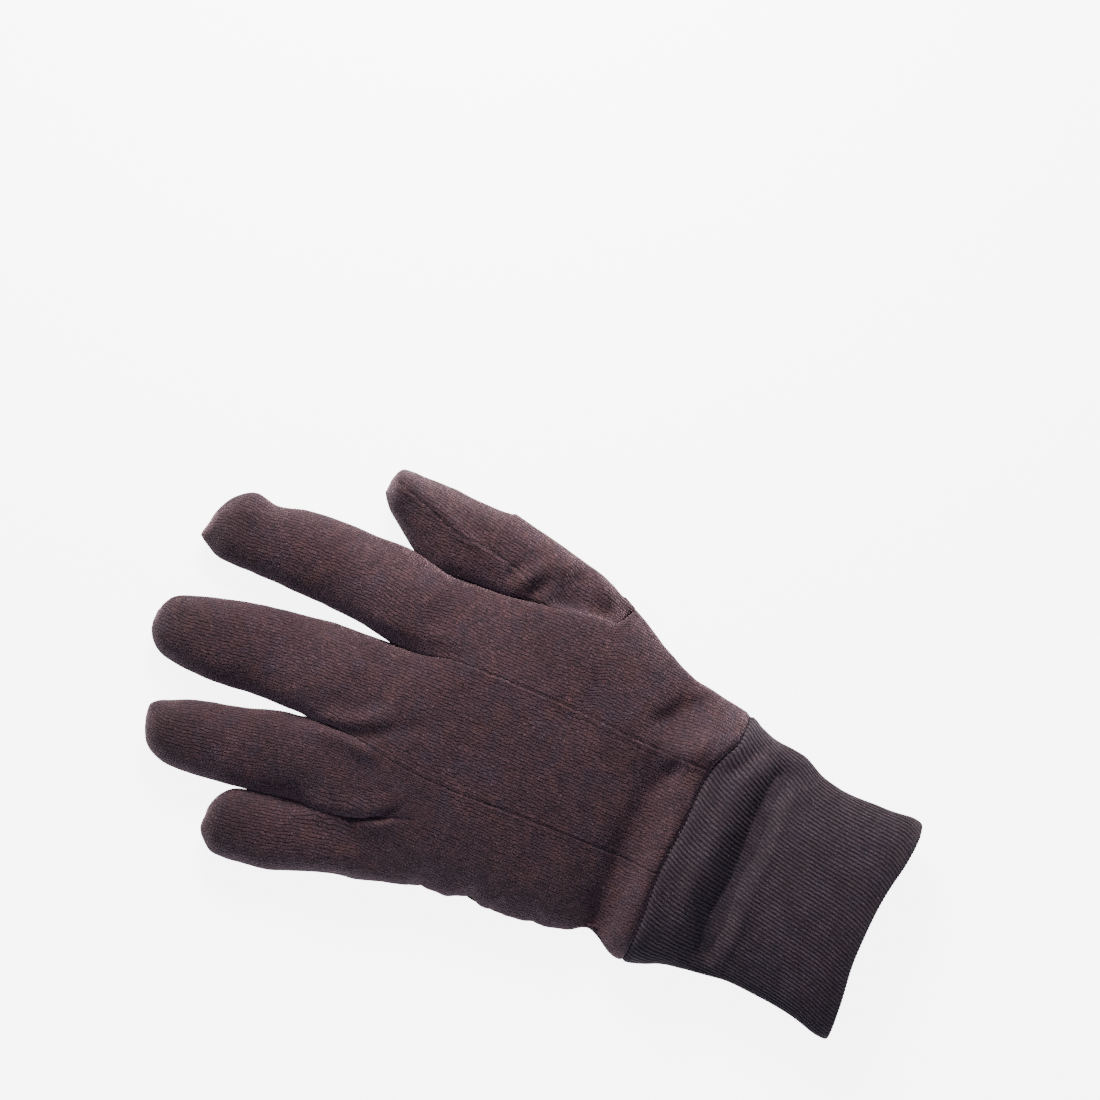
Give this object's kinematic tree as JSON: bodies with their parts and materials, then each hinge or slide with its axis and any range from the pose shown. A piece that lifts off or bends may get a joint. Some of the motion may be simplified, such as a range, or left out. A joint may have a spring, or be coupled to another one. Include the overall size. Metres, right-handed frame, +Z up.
{
  "type": "cotton work glove",
  "caption": "Left-hand cotton jersey work glove with sewn back panels, a palm cut in one with the finger fronts, a set-in thumb and a folded rib-knit wrist.",
  "frame": {"origin": "middle of the glove's outline in plan, on the surface it lies on", "axes": "+Y from the open wrist towards the fingertips, +X towards the thumb, +Z up from the palm to the back of the hand"},
  "size_m": [0.1422, 0.2604, 0.028],
  "materials": {
    "brown_jersey": "heathered brown cotton jersey knit, matt and slightly fuzzy",
    "rib_knit": "charcoal rib knit, matt"
  },
  "bodies": {
    "root": {"palm": "brown_jersey", "back_index": "brown_jersey", "back_middle": "brown_jersey", "back_ring_little": "brown_jersey", "thumb_front": "brown_jersey", "thumb_back": "brown_jersey", "knit_wrist": "rib_knit"}
  },
  "joints": []
}
